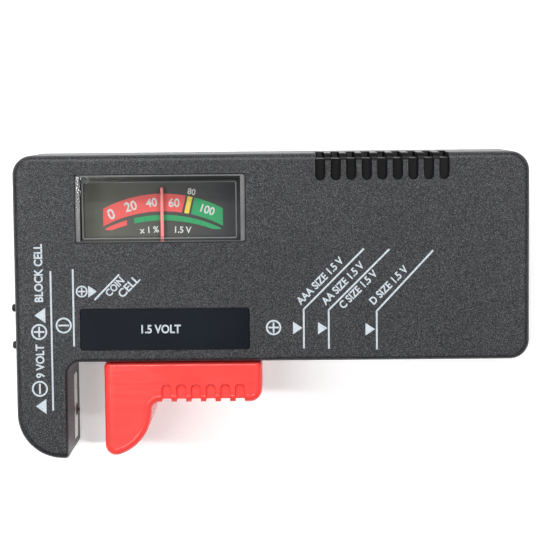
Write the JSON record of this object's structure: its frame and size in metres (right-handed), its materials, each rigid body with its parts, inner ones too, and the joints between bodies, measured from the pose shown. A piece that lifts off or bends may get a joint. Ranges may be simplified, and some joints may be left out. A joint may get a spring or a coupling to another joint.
{
  "type": "battery tester",
  "caption": "Hand-held analogue battery tester: black housing with a fixed jaw and needle meter, and a red jaw that slides along it to grip a cell.",
  "frame": {"origin": "on the rear face's plane, at the centre of the outline with the polarity pips, jaws and all", "axes": "+X along the housing away from the fixed jaw, +Y towards the top edge, +Z from the rear face to the meter's front"},
  "size_m": [0.1096, 0.0636, 0.0234],
  "materials": {
    "housing_plastic": "fine spark-eroded texture",
    "screw_steel": "zinc plated",
    "label_film": "satin film",
    "clear_lens": "clear polystyrene",
    "meter_moulding": "moulded",
    "terminal_brass": "tinned",
    "dial_paint": "matt printed",
    "stop_wire": "plain",
    "yoke_iron": "soft iron",
    "magnet": "cast magnet",
    "jewel": "polished",
    "hairspring_bronze": "rolled",
    "needle_paint": "painted",
    "coil_copper": "enamelled copper",
    "nickel": "nickel plated",
    "board_laminate": "solder mask",
    "resistor_tan": "lacquered",
    "resistor_blue": "lacquered",
    "wire_black": "insulation",
    "wire_red": "insulation",
    "wire_blue": "insulation",
    "wire_yellow": "insulation",
    "wire_white": "insulation",
    "slider_plastic": "gloss",
    "foot_plastic": "acetal",
    "wiper_bronze": "phosphor bronze"
  },
  "bodies": {
    "housing": {"front_cover": "housing_plastic", "rear_cover": "housing_plastic", "case_screws": "screw_steel", "label_plate": "label_film", "meter_lens": "clear_lens", "meter_case": "meter_moulding", "meter_screws": "screw_steel", "meter_terminals": "terminal_brass", "dial_plate": "dial_paint", "dial_screws": "terminal_brass", "needle_stops": "stop_wire", "meter_yoke": "yoke_iron", "core_magnet": "magnet", "core_bracket": "terminal_brass", "lower_bridge": "terminal_brass", "upper_bridge": "terminal_brass", "jewel_screws": "jewel", "upper_hairspring": "hairspring_bronze", "lower_hairspring": "hairspring_bronze", "jaw_contact": "nickel", "nine_volt_positive_contact": "nickel", "nine_volt_negative_contact": "nickel", "contact_rail": "nickel", "circuit_board": "board_laminate", "board_screws": "screw_steel", "load_resistor": "resistor_tan", "meter_resistor": "resistor_blue", "nine_volt_resistor": "resistor_blue", "jaw_wire": "wire_black", "nine_volt_positive_wire": "wire_red", "nine_volt_negative_wire": "wire_blue", "rail_wire": "wire_red", "meter_positive_wire": "wire_yellow", "meter_negative_wire": "wire_white"},
    "slider": {"slider": "slider_plastic", "slider_contact": "nickel", "slider_foot": "foot_plastic", "slider_wiper": "wiper_bronze", "slider_screw": "screw_steel", "slider_nut": "screw_steel"},
    "needle": {"needle": "needle_paint", "counterweight": "stop_wire", "moving_coil": "coil_copper", "coil_pivots": "screw_steel"}
  },
  "joints": [
    {"name": "slider_slide", "type": "slide", "parent": "housing", "child": "slider", "axis": [1, 0, 0], "range_m": [-0.0057, 0.0552]},
    {"name": "needle_swing", "type": "hinge", "parent": "housing", "child": "needle", "pos_m": [-0.02185, 0.0042, 0.0172], "axis": [0, 0, 1], "range_deg": [-38, 38], "stiffness_Nm_per_rad": 0.000002, "springref_deg": 38}
  ]
}
